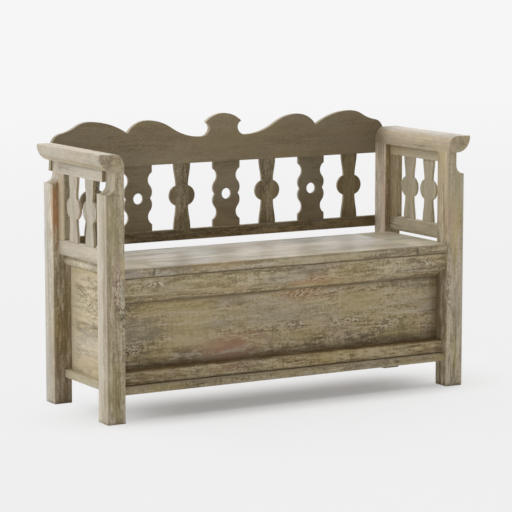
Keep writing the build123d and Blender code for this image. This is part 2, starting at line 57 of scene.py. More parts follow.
# one finish and the nodes in it
class Finish:
    def __init__(self, owner):
        owner.use_nodes = True
        self.owner = owner
        self.tree = owner.node_tree
        self.tree.nodes.clear()

    def node(self, kind, settings=None, inputs=None, output=0):
        made = self.tree.nodes.new(kind)
        for key, value in (settings or {}).items():
            if key == "stops":
                while len(made.color_ramp.elements) < len(value):
                    made.color_ramp.elements.new(1.0)
                for element, (position, colour) in zip(made.color_ramp.elements, value):
                    element.position = position
                    element.color = (*colour, 1.0)
            else:
                setattr(made, key, value)
        inputs = inputs or {}
        for key, value in inputs.items() if isinstance(inputs, dict) else enumerate(inputs):
            socket = made.inputs[key]
            if isinstance(value, Wire):
                self.tree.links.new(value.socket, socket)
            elif socket.type == "RGBA":
                socket.default_value = (*value[:3], 1.0)
            else:
                socket.default_value = value
        if isinstance(output, tuple):
            return [Wire(self, made.outputs[name]) for name in output]
        return Wire(self, made.outputs[output]) if len(made.outputs) else made

    # smooth step from 0 at low to 1 at high, also where high is the smaller
    def fade(self, value, low, high):
        ends = {"Value": value, "From Min": low, "From Max": high}
        return self.node("ShaderNodeMapRange", {"interpolation_type": "SMOOTHSTEP"}, ends)

    def noise(self, vector, scale, detail, roughness):
        grain = {"Vector": vector, "Scale": scale, "Detail": detail, "Roughness": roughness}
        return self.node("ShaderNodeTexNoise", {}, grain)

    # colour sockets of a Mix node: 0 is the factor, 6 and 7 the two colours, 2 the result
    def blend(self, amount, below, above):
        return self.node("ShaderNodeMix", {"data_type": "RGBA"}, {0: amount, 6: below, 7: above}, 2)

    # how far a point lies from a centre, as a share of the reach
    def distance(self, place, centre, reach):
        away = self.node("ShaderNodeVectorMath", {"operation": "SUBTRACT"}, [place, centre])
        share = self.node("ShaderNodeVectorMath", {"operation": "DIVIDE"}, [away, reach])
        return self.node("ShaderNodeVectorMath", {"operation": "LENGTH"}, [share], "Value")

    # 1 where the camera looks straight at a thing or sees it in metal or glass
    def lookedAt(self):
        wanted = ("Is Camera Ray", "Is Glossy Ray", "Is Transmission Ray")
        straight, glossy, through = self.node("ShaderNodeLightPath", output=wanted)
        return straight.work("MAXIMUM", glossy).work("MAXIMUM", through)


axisNumber = {"x": 0, "y": 1, "z": 2}
allAlong = 8.0   # a reach past both ends of a piece

# colours of stained patches, grimy marks and painted shade on more than one piece
grimeAndShadeBrown = (0.17, 0.12, 0.06)
greyBrown = (0.26, 0.21, 0.12)
rust = (0.50, 0.25, 0.11)
rose = (0.60, 0.40, 0.30)
olive = (0.40, 0.34, 0.17)
# near black: dark joints, and painted contact shadow and shadow gaps
sootAndShade = (0.12, 0.085, 0.045)
umber = (0.20, 0.15, 0.08)
cream = (0.68, 0.58, 0.40)


# a patch of colour round a place, with its reach along x, y and z: stained patches, and painted light and
# shade
def stainAndLightAt(place, reach, colour, amount):
    return {"at": place, "reach": reach, "colour": colour, "amount": amount}


# a patch of flaking paint round a place
def flakeAt(place, reach, amount):
    return {"at": place, "reach": reach, "amount": amount}


# a darkening that thickens along an axis, from clean to darkest, with a ragged edge: grimy marks, and
# painted shade in joints, corners and under parts
def grimeAndShadeBand(axis, clean, dirty, amount, ragged=0.02, colour=grimeAndShadeBrown):
    ends = {"axis": axis, "clean": clean, "dirty": dirty}
    return {**ends, "amount": amount, "ragged": ragged, "colour": colour}


# a finish goes into every slot of its piece
def wearIt(nodeName, finish):
    for slot in nodes[nodeName].material_slots:
        slot.material = finish.owner


# a colour made darker or paler, by one share or by one for each part
def shaded(colour, share):
    shares = share if isinstance(share, tuple) else (share,) * 3
    return tuple(part * own for part, own in zip(colour, shares))


timberUse = {
    "dark": (0.20, 0.150, 0.080),
    "mid": (0.475, 0.388, 0.245),
    "light": (0.67, 0.59, 0.44),
    "ochre": (0.54, 0.43, 0.20),
    "silver": (0.46, 0.425, 0.355),
    "pink": (0.55, 0.42, 0.34),
    "bleached": (0.475, 0.435, 0.375),
    "worn": (0.62, 0.55, 0.42),
    "shade": (1.0, 1.0, 1.0),   # multiplies the colours above: a piece's own tone, and on some pieces painted light and shade
    "gap": (0.12, 0.085, 0.045),
    "paleChip": (0.74, 0.66, 0.49),
    "darkChip": (0.16, 0.115, 0.065),
    # strength of each layer of noise
    "patch": 0.30,
    "patchScale": 7.0,
    "mottle": 0.36,
    "dash": 0.40,
    "streak": 0.36,
    "fibre": 0.50,
    "speck": 0.50,
    "saw": 0.25,
    # drifts of ochre, silver and pink
    "yellow": 0.40,
    "grey": 0.30,
    "blush": 0.25,
    # sides and tops paler and greyer, partly weather bleaching and partly a painted sheen of the light on
    # them, and how much of the noise it calms
    "side": 0.45,
    "top": 0.6,
    "calm": 0.4,
    "calmTop": 0.0,
    "ashen": (0.45, 1.55),
    "hideOchre": 0.7,
    # damage
    "crack": 0.55,
    "flake": 0.15,
    "flakeRagged": 0.8,
    "chip": 0.8,
    "wear": 0.25,
    "wearRagged": 0.012,
    "endGrain": 0.15,
    "stains": [],
    "flakes": [],
    "grime": [],
    # surface
    "gloss": 0.3,
    "rough": 0.62,
    "roughSpread": 0.2,
    "relief": 0.55,
    "depth": 0.0014,
}

# layers of noise: stretch along and across the grain, shift from the seed's place, size and detail
timberLayers = {
    "patch": {"along": 0.26, "detail": 3.0, "roughness": 0.55},
    "mottle": {"along": 0.28, "shift": 3.1, "scale": 44.0, "detail": 5.0, "roughness": 0.65},
    "dash": {"along": 0.22, "shift": 4.7, "scale": 150.0, "detail": 3.0, "roughness": 0.6},
    "streak": {"along": 0.035, "shift": 5.3, "scale": 60.0, "detail": 4.0, "roughness": 0.60},
    "fibre": {"along": 0.07, "shift": 7.7, "scale": 170.0, "detail": 3.0, "roughness": 0.6},
    "speck": {"along": 0.8, "shift": 8.3, "scale": 210.0, "detail": 2.0, "roughness": 0.6},
    "saw": {"along": 1.0, "across": 0.12, "shift": 9.1, "scale": 120.0, "detail": 2.0, "roughness": 0.5},
    "hue": {"along": 0.35, "shift": 11.9, "scale": 10.0, "detail": 3.0, "roughness": 0.55},
    "warm": {"along": 0.40, "shift": 12.7, "scale": 13.0, "detail": 3.0, "roughness": 0.55},
    "split": {"along": 0.03, "shift": 13.3, "scale": 26.0, "detail": 3.0, "roughness": 0.5},
    "broken": {"along": 0.3, "shift": 15.1, "scale": 12.0, "detail": 2.0, "roughness": 0.5},
    "flaky": {"along": 0.5, "shift": 19.3, "scale": 20.0, "detail": 4.0, "roughness": 0.6},
}
chipCells = {"along": 0.5, "shift": 17.9, "scale": 270.0}
seedStep = (1.73, 0.91, 2.37)
shiftStep = (1.0, -1.0, 0.5)

# where each mask starts and where it is full
timberFades = {
    "patch": (0.34, 0.66),
    "noise": (0.32, 0.68),
    "facing": (0.6, 0.9),
    "endGrain": (0.7, 0.95),
    "ochre": (0.52, 0.64),
    "silver": (0.47, 0.36),
    "pink": (0.54, 0.66),
    "placed": (1.1, 0.2),
    "split": (0.012, 0.003),
    "broken": (0.50, 0.60),
    "flaky": (0.56, 0.68),
    "paleChip": (0.55, 0.75),
    "darkChip": (0.48, 0.28),
    "arris": (0.007, 0.0),
}
timberHeights = {"mottle": 0.4, "dash": 0.4, "fibre": 0.4, "streak": 0.3, "saw": 0.3, "chip": 0.2}
timberRagged = {"mottle": 0.6, "streak": 0.4, "dash": 0.4}


# weathered timber: drawn-out noise along the grain, splits, stains, flakes of old paint and worn edges
def weatheredTimber(nodeName, grain, seed, **changes):
    look = {**timberUse, **changes}
    for key in ("dark", "mid", "light", "ochre", "silver", "pink", "bleached", "worn"):
        look[key] = shaded(look[key], look["shade"])
    axis = axisNumber[grain]
    finish = Finish(bpy.data.materials.new(nodeName + "Timber"))
    place, facing = finish.node("ShaderNodeTexCoord", output=("Object", "Normal"))
    spot = finish.node("ShaderNodeSeparateXYZ", {}, [place], ("X", "Y", "Z"))
    side = finish.node("ShaderNodeSeparateXYZ", {}, [facing], ("X", "Y", "Z"))

    def drawnOut(along, across, shift):
        scale = [across, across, across]
        scale[axis] = along
        move = [seed * step + shift * own for step, own in zip(seedStep, shiftStep)]
        return finish.node("ShaderNodeMapping", {}, {"Vector": place, "Location": move, "Scale": scale})

    def layer(name, **own):
        use = {"across": 1.0, "shift": 0.0, **timberLayers[name], **own}
        vector = drawnOut(use["along"], use["across"], use["shift"])
        return finish.noise(vector, use["scale"], use["detail"], use["roughness"])

    def mask(value, name):
        return finish.fade(value, *timberFades[name])

    patch = mask(layer("patch", scale=look["patchScale"]), "patch")
    mottle, dash, streak = [mask(layer(name), "noise") for name in ("mottle", "dash", "streak")]
    fibre, speck, saw, hue, warm = [layer(name) for name in ("fibre", "speck", "saw", "hue", "warm")]

    detail = (mottle - 0.5) * look["mottle"] + (dash - 0.5) * look["dash"]
    detail = detail + (streak - 0.5) * look["streak"] + (fibre - 0.5) * look["fibre"]
    detail = detail + (saw - 0.5) * look["saw"] + (speck - 0.5) * look["speck"]
    # sides and tops greyer and smoother than the fronts, partly weather bleaching and partly a painted
    # sheen of the light on them, then drifts of ochre, silver and pink
    flank = mask(abs(side[0]), "facing")
    flat = mask(side[2], "facing")
    bleachAndSheen = flank * look["side"] + flat * look["top"]
    smooth = 1.0 - flank * look["calm"] - flat * look["calmTop"]
    tone = 0.5 + (patch - 0.5) * look["patch"] + detail * smooth
    stops = [(0.0, look["dark"]), (0.5, look["mid"]), (1.0, look["light"])]
    colour = finish.node("ShaderNodeValToRGB", {"stops": stops}, [tone])
    ashen = finish.blend(tone, *[shaded(look["bleached"], share) for share in look["ashen"]])
    colour = finish.blend(bleachAndSheen, colour, ashen)
    golden = mask(hue, "ochre") * look["yellow"] * (1.0 - bleachAndSheen * look["hideOchre"])
    colour = finish.blend(golden, colour, look["ochre"])
    colour = finish.blend(mask(hue, "silver") * look["grey"], colour, look["silver"])
    colour = finish.blend(mask(warm, "pink") * look["blush"], colour, look["pink"])

    # grimy hollows and painted shade in joints, corners and under parts, and places that old paint or damp
    # has stained, some of them painted light and shade
    ragged = (mottle - 0.5) * timberRagged["mottle"] + (streak - 0.5) * timberRagged["streak"]
    ragged = ragged + (dash - 0.5) * timberRagged["dash"]
    for band in look["grime"]:
        along = spot[axisNumber[band["axis"]]] + ragged * band["ragged"]
        darkening = finish.fade(along, band["clean"], band["dirty"]) * band["amount"]
        colour = finish.blend(darkening, colour, band["colour"])
    for placedColour in look["stains"]:
        away = finish.distance(place, placedColour["at"], placedColour["reach"]) + ragged
        colour = finish.blend(mask(away, "placed") * placedColour["amount"], colour, placedColour["colour"])

    # thin splits along the grain
    broken = mask(layer("broken"), "broken")
    crack = mask(abs(layer("split") - 0.5), "split") * broken
    colour = finish.blend(crack * look["crack"], colour, look["gap"])

    # flakes of old paint, thick where they are placed and thin elsewhere
    chips = {"Vector": drawnOut(chipCells["along"], 1.0, chipCells["shift"]), "Scale": chipCells["scale"]}
    cells = finish.node("ShaderNodeTexVoronoi", {}, chips, "Color")
    chance = finish.node("ShaderNodeSeparateColor", {}, [cells])
    flaky = mask(layer("flaky"), "flaky") * look["flake"]
    for flake in look["flakes"]:
        away = finish.distance(place, flake["at"], flake["reach"]) + (mottle - 0.5) * look["flakeRagged"]
        flaky = flaky.work("MAXIMUM", mask(away, "placed") * flake["amount"])
    pale = mask(chance, "paleChip") * flaky
    dull = mask(chance, "darkChip") * flaky
    colour = finish.blend(pale * look["chip"], colour, look["paleChip"])
    colour = finish.blend(dull * look["chip"], colour, look["darkChip"])

    # arrises rubbed paler, from the piece's own box
    if look["wear"]:
        low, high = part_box(nodeName)
        inset = [(spot[i] - low[i]).work("MINIMUM", high[i] - spot[i]) for i in range(3)]
        small = inset[0].work("MINIMUM", inset[1])
        large = inset[0].work("MAXIMUM", inset[1])
        edge = small.work("MAXIMUM", large.work("MINIMUM", inset[2]))
        rubbed = mask(edge + (mottle - 0.5) * look["wearRagged"], "arris") * look["wear"]
        colour = finish.blend(rubbed, colour, look["worn"])

    # end grain drinks more and is darker
    colour = finish.blend(mask(abs(side[axis]), "endGrain") * look["endGrain"], colour, look["dark"])

    rise = timberHeights
    height = mottle * rise["mottle"] + dash * rise["dash"] + fibre * rise["fibre"] + streak * rise["streak"]
    height = height + saw * rise["saw"] - crack + pale * rise["chip"] - dull * rise["chip"]
    bump = finish.node("ShaderNodeBump", {}, {
        "Height": height,
        "Strength": look["relief"],
        "Distance": look["depth"],
    })
    shader = finish.node("ShaderNodeBsdfPrincipled", {}, {
        "Base Color": colour,
        "Roughness": look["rough"] + (0.5 - mottle) * look["roughSpread"] + crack * look["roughSpread"],
        "Specular IOR Level": look["gloss"],
        "Normal": bump,
    })
    finish.node("ShaderNodeOutputMaterial", {}, [shader])
    wearIt(nodeName, finish)


# posts, grain upright
postLook = {
    "patch": 0.28,
    "mottle": 0.42,
    "dash": 0.36,
    "streak": 0.62,
    "fibre": 1.1,
    "speck": 1.2,
    "saw": 0.10,
    "side": 0.60,
    "top": 0.3,
    "wear": 0.12,
}
postPlaces = {
    "left_front_post": {
        "seed": 1.0,
        "stains": [
            stainAndLightAt((-0.588, -0.2175, 0.43), (0.02, 0.02, 0.09), rose, 0.5),
            stainAndLightAt((-0.600, -0.2175, 0.55), (0.02, 0.03, 0.16), olive, 0.55),
            stainAndLightAt((-0.568, -0.2175, 0.455), (0.012, 0.02, 0.05), (0.64, 0.52, 0.26), 0.7),
            stainAndLightAt((-0.590, -0.2175, 0.06), (0.03, 0.05, 0.08), olive, 0.5),
            stainAndLightAt((-0.585, -0.2175, 0.667), (0.05, 0.01, 0.004), sootAndShade, 0.35),
            stainAndLightAt((-0.620, -0.2175, 0.36), (0.018, 0.034, allAlong), greyBrown, 0.42),
            stainAndLightAt((-0.620, -0.1550, 0.36), (0.02, 0.035, allAlong), (0.72, 0.66, 0.54), 0.3),
            stainAndLightAt((-0.590, -0.2175, 0.18), (0.05, 0.03, 0.12), greyBrown, 0.12),
            stainAndLightAt((-0.595, -0.1900, 0.60), (0.06, 0.08, 0.16), (0.66, 0.60, 0.46), 0.16),
        ],
        "flakes": [
            flakeAt((-0.567, -0.2175, 0.33), (0.016, 0.02, 0.13), 0.9),
            flakeAt((-0.580, -0.2175, 0.40), (0.025, 0.02, 0.08), 0.75),
        ],
    },
    "left_back_post": {
        "seed": 2.0,
        "mid": (0.350, 0.272, 0.152),
        "bleached": (0.53, 0.495, 0.430),
        "stains": [
            stainAndLightAt((-0.585, 0.1405, 0.25), (0.035, 0.03, 0.16), (0.24, 0.175, 0.09), 0.6),
            stainAndLightAt((-0.598, 0.1405, 0.36), (0.022, 0.03, allAlong), (0.16, 0.115, 0.055), 0.4),
            stainAndLightAt((-0.622, 0.1405, 0.36), (0.012, 0.02, allAlong), (0.60, 0.50, 0.36), 0.3),
            stainAndLightAt((-0.620, 0.2050, 0.36), (0.02, 0.035, allAlong), (0.62, 0.62, 0.58), 0.5),
            stainAndLightAt((-0.610, 0.1405, 0.58), (0.022, 0.03, 0.14), rust, 0.8),
            stainAndLightAt((-0.585, 0.1405, 0.11), (0.03, 0.03, 0.05), umber, 0.4),
            stainAndLightAt((-0.585, 0.1405, 0.40), (0.02, 0.03, 0.05), umber, 0.35),
        ],
        # darker towards the side panel: painted shade in the corner of the front face
        "grime": [grimeAndShadeBand("x", -0.578, -0.564, 0.3, ragged=0.01)],
    },
    "right_front_post": {
        "seed": 3.0,
        "mid": (0.486, 0.396, 0.247),
        "side": 0.1,
        "stains": [
            stainAndLightAt((0.590, -0.2175, 0.47), (0.02, 0.03, 0.10), (0.62, 0.50, 0.26), 0.6),
            stainAndLightAt((0.575, -0.2175, 0.53), (0.02, 0.03, 0.07), rose, 0.4),
            stainAndLightAt((0.600, -0.2175, 0.667), (0.05, 0.01, 0.004), sootAndShade, 0.25),
            stainAndLightAt((0.597, -0.2175, 0.25), (0.018, 0.03, 0.22), (0.30, 0.25, 0.16), 0.35),
            stainAndLightAt((0.595, -0.2175, 0.64), (0.04, 0.03, 0.10), (0.55, 0.49, 0.33), 0.6),
            stainAndLightAt((0.620, -0.2175, 0.36), (0.010, 0.02, allAlong), (0.62, 0.58, 0.48), 0.4),
            # a dark patch on the inner face below the seat: painted shade in the recess
            stainAndLightAt((0.5615, -0.160, 0.25), (0.012, 0.075, 0.30), (0.17, 0.12, 0.055), 0.8),
            stainAndLightAt((0.592, -0.2175, 0.10), (0.008, 0.02, 0.06), (0.56, 0.48, 0.22), 0.6),
            # dark at the back of the foot: painted contact shadow
            stainAndLightAt((0.562, -0.2000, 0.00), (0.01, 0.03, 0.025), sootAndShade, 0.5),
        ],
        "flakes": [flakeAt((0.567, -0.2175, 0.31), (0.015, 0.02, 0.13), 0.85)],
        # darker towards the back of the post, by the chest front: painted shade in the recess
        "grime": [grimeAndShadeBand("y", -0.178, -0.158, 0.3, ragged=0.01, colour=(0.24, 0.17, 0.08))],
    },
    "right_back_post": {
        "seed": 4.0,
        "mid": (0.35, 0.248, 0.134),
        "bleached": (0.66, 0.590, 0.475),
        "stains": [
            stainAndLightAt((0.557, 0.1405, 0.56), (0.014, 0.03, 0.09), rose, 0.7),
            stainAndLightAt((0.562, 0.1750, 0.69), (0.02, 0.04, 0.05), cream, 0.4),
        ],
        # darker towards the side panel: painted shade in the corner of the front face
        "grime": [grimeAndShadeBand("x", 0.572, 0.590, 0.6, ragged=0.01)],
    },
}
# darker along the foot of every post: painted contact shadow
standing = grimeAndShadeBand("z", 0.012, 0.002, 0.6, ragged=0.008, colour=sootAndShade)
for name, own in postPlaces.items():
    weatheredTimber(name, "z", **{**postLook, **own, "grime": own.get("grime", []) + [standing]})
print("posts finished")

# arms and the open panels under them
armLook = {
    "patch": 0.20,
    "mottle": 0.20,
    "dash": 0.26,
    "streak": 0.30,
    "fibre": 0.4,
    "saw": 0.1,
    "yellow": 0.2,
    "grey": 0.35,
    "crack": 0.45,
    "endGrain": 0.0,
    "flake": 0.05,
    "wear": 0.2,
    "side": 0.65,
    "top": 0.8,
}
# darker just under the arm and just above the seat: partly grimy joints, partly painted shade
joint = [grimeAndShadeBand("z", 0.724, 0.735, 0.3, ragged=0.004)]
foot = [grimeAndShadeBand("z", 0.468, 0.456, 0.3, ragged=0.006)]
armSides = {
    "left": {
        "panel": {"side": 0.75},
        "arm": {
            "side": 0.65,
            "stains": [
                # paler along the lower edge of the arm: painted light on its cove
                stainAndLightAt((-0.600, 0.0, 0.739), (0.03, 0.24, 0.015), (0.74, 0.69, 0.60), 0.6),
                stainAndLightAt((-0.622, -0.2175, 0.768), (0.035, 0.012, 0.025), (0.24, 0.19, 0.12), 0.5),
                stainAndLightAt((-0.575, -0.2175, 0.742), (0.030, 0.012, 0.012), (0.60, 0.53, 0.36), 0.5),
            ],
        },
        "topRail": {},
        "bottomRail": {},
        # the stile's front face darker: painted shade where it is seen through the first opening
        "stile": {"side": 0.75, "mid": (0.264, 0.22, 0.142), "bleached": (0.435, 0.351, 0.239)},
        "frontBaluster": {"shade": (1.06, 1.07, 1.04)},
        "rearBaluster": {"shade": (0.93, 0.93, 0.90)},
    },
    "right": {
        "panel": {"side": 0.3, "mid": (0.49, 0.400, 0.245), "light": (0.67, 0.58, 0.42)},
        "arm": {
            "side": 0.15,
            "calmTop": 0.5,
            "bleached": (0.475, 0.457, 0.42),
            "stains": [
                # paler along the lower edge of the arm: painted light on its cove
                stainAndLightAt((0.600, 0.0, 0.739), (0.03, 0.24, 0.015), (0.74, 0.69, 0.60), 0.6),
                stainAndLightAt((0.605, -0.2175, 0.768), (0.04, 0.012, 0.02), (0.36, 0.27, 0.18), 0.35),
            ],
            # darker towards the back end, by the crest: painted shade
            "grime": [grimeAndShadeBand("y", 0.12, 0.185, 0.45, colour=(0.15, 0.11, 0.04))],
        },
        "topRail": {"shade": (0.96, 0.95, 0.90)},
        "bottomRail": {
            "shade": (0.89, 0.90, 0.86),
            "stains": [
                stainAndLightAt((0.5815, 0.135, 0.487), (0.02, 0.03, 0.03), umber, 0.5),
                stainAndLightAt((0.5815, -0.030, 0.488), (0.02, 0.05, 0.02), cream, 0.35),
            ],
        },
        "stile": {"side": 0.1, "mid": (0.287, 0.201, 0.077), "bleached": (0.15, 0.08, 0.06), "grey": 0.2},
        "frontBaluster": {"shade": (0.94, 0.98, 1.0)},
        "rearBaluster": {"shade": (0.94, 0.96, 0.95)},
    },
}
for count, (side, own) in enumerate(armSides.items()):
    panelLook = {**armLook, **own["panel"], "wear": 0.1}
    roundLook = {**panelLook, "wear": 0.0}
    upper = {**panelLook, "grime": joint, "endGrain": 0.6}
    lower = {**panelLook, "grime": foot, "side": 0.45}
    weatheredTimber(f"{side}_arm", "y", seed=5.0 + count, **{**armLook, **own["arm"]})
    weatheredTimber(f"{side}_arm_top_rail", "y", seed=7.0 + count, **{**upper, **own["topRail"]})
    weatheredTimber(f"{side}_arm_bottom_rail", "y", seed=9.0 + count, **{**lower, **own["bottomRail"]})
    weatheredTimber(f"{side}_arm_stile", "z", seed=11.0 + count, **{**panelLook, **own["stile"]})
    weatheredTimber(f"{side}_front_baluster", "z", seed=13.0 + count, **roundLook, **own["frontBaluster"])
    weatheredTimber(f"{side}_rear_baluster", "z", seed=15.0 + count, **roundLook, **own["rearBaluster"])
print("arms finished")

# back boards under a thin coat of brown paint
paintLook = {
    "dark": (0.200, 0.157, 0.092),
    "mid": (0.312, 0.249, 0.151),
    "light": (0.396, 0.325, 0.211),
    "ochre": (0.340, 0.270, 0.142),
    "silver": (0.292, 0.248, 0.175),
    "patch": 0.34,
    "mottle": 0.22,
    "dash": 0.16,
    "streak": 0.08,
    "fibre": 0.30,
    "speck": 1.2,
    "saw": 0.05,
    "yellow": 0.5,
    "grey": 0.4,
    "blush": 0.0,
    "side": 0.3,
    "top": 0.4,
    "crack": 0.0,
    "flake": 0.0,
    "wear": 0.0,
    "endGrain": 0.0,
    "relief": 0.25,
}
toRight = [grimeAndShadeBand("x", -0.45, 0.60, 0.32, ragged=0.05, colour=(0.20, 0.15, 0.085))]
weatheredTimber("crest_rail", "x", seed=17.0, **paintLook, shade=(1.04, 1.04, 1.03), grime=toRight)
tones = ("dark", "mid", "light")
piercedUse = {   # how deep the paint is, and the painted shade towards the seat
    "pierced_splat_1": {"shade": 0.865, "grime": 0.35},
    "pierced_splat_2": {"shade": 0.855, "grime": 0.35},
    "pierced_splat_3": {"shade": 0.75, "grime": 0.55},
}
for name, own in piercedUse.items():
    deeper = {key: shaded(paintLook[key], own["shade"]) for key in tones}
    fall = [grimeAndShadeBand("z", 0.64, 0.48, own["grime"], colour=(0.20, 0.145, 0.08))]
    weatheredTimber(name, "x", seed=17.0, **{**paintLook, **deeper, "patch": 0.3, "grime": fall})
bareLook = {
    **paintLook,
    "dark": (0.13, 0.095, 0.05),
    "mid": (0.325, 0.250, 0.145),
    "light": (0.54, 0.44, 0.29),
    "patch": 0.40,
    "mottle": 0.42,
    "dash": 0.32,
    "streak": 0.36,
    "fibre": 0.9,
    "speck": 1.5,
    "crack": 0.5,
    "relief": 0.4,
}
railLook = {
    **bareLook,
    "dark": (0.075, 0.051, 0.024),
    "mid": (0.186, 0.138, 0.068),
    "light": (0.35, 0.26, 0.14),
    "patch": 0.6,
    "mottle": 0.55,
}
toEnd = [grimeAndShadeBand("x", 0.15, 0.55, 0.4, colour=(0.06, 0.045, 0.018))]
weatheredTimber("lower_back_rail", "x", seed=18.0, **railLook, grime=toEnd)
discShades = ((0.69, 0.75, 0.80), (1.23, 1.31, 1.38), (0.835, 0.86, 0.88), (0.61, 0.62, 0.62))
for count, shade in enumerate(discShades, 1):
    low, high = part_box(f"disc_splat_{count}")
    middle = (low.x + high.x) / 2
    lobes = [
        grimeAndShadeBand("x", middle - 0.015, middle - 0.025, 0.5, ragged=0.004),
        grimeAndShadeBand("x", middle + 0.015, middle + 0.025, 0.5, ragged=0.004),
        # darker towards the bottom: painted shade towards the seat
        grimeAndShadeBand("z", 0.56, 0.49, 0.45, ragged=0.03),
    ]
    lifted = {key: shaded(bareLook[key], shade) for key in tones}
    weatheredTimber(f"disc_splat_{count}", "z", seed=18.0 + count, **{**bareLook, **lifted, "grime": lobes})
print("back finished")

# seat, silver grey on top: partly rubbed, partly a painted sheen of the light
seatLook = {
    "mid": (0.450, 0.366, 0.228),
    "silver": (0.50, 0.46, 0.42),
    "patch": 0.45,
    "patchScale": 15.0,
    "mottle": 0.42,
    "dash": 0.40,
    "streak": 0.40,
    "fibre": 1.0,
    "speck": 1.5,
    "yellow": 0.40,
    "grey": 0.55,
    "blush": 0.40,
    "top": 0.8,
    "calmTop": 0.65,
    "wear": 0.05,
    "gloss": 0.4,
    "rough": 0.38,
    "relief": 0.35,
    "flake": 0.1,
}
# darker along the bottom edge of the seat: partly grimy, partly painted shade under it
under = [grimeAndShadeBand("z", 0.4275, 0.4225, 0.75, ragged=0.003)]
seatFront = [
    stainAndLightAt((-0.515, -0.214, 0.436), (0.055, 0.02, 0.02), (0.38, 0.32, 0.27), 0.5),
    stainAndLightAt((-0.400, -0.214, 0.440), (0.08, 0.02, 0.02), (0.24, 0.185, 0.11), 0.6),
    stainAndLightAt((-0.250, -0.214, 0.442), (0.10, 0.02, 0.012), (0.60, 0.42, 0.23), 0.6),
    stainAndLightAt((0.09, -0.214, 0.436), (0.03, 0.02, 0.02), (0.62, 0.53, 0.36), 0.6),
    stainAndLightAt((0.451, -0.214, 0.436), (0.008, 0.03, 0.02), sootAndShade, 0.85),
    stainAndLightAt((-0.463, -0.214, 0.436), (0.006, 0.03, 0.02), sootAndShade, 0.7),
    stainAndLightAt((0.0, -0.2145, 0.450), (allAlong, 0.012, 0.009), (0.22, 0.165, 0.085), 0.6),
    stainAndLightAt((-0.612, 0.020, 0.436), (0.04, 0.20, 0.03), (0.80, 0.71, 0.54), 0.85),
    stainAndLightAt((0.295, -0.060, 0.450), (0.09, 0.03, 0.02), (0.75, 0.72, 0.68), 0.35),
]
seatShades = {
    "lid_front_plank": (0.88, 0.88, 0.86),
    "lid_middle_plank": (1.0, 1.03, 1.06),
    # the back plank paler and bluer: painted light where the lower back rail shades it
    "lid_back_plank": (1.05, 1.10, 1.17),
    "left_seat_end": (0.97, 0.97, 0.93),
    "right_seat_end": (0.92, 0.93, 0.85),
}
for count, (name, shade) in enumerate(seatShades.items()):
    marked = {**seatLook, "stains": seatFront, "grime": under, "shade": shade}
    weatheredTimber(name, "x", seed=24.0 + count * 0.37, **marked)
print("seat finished")

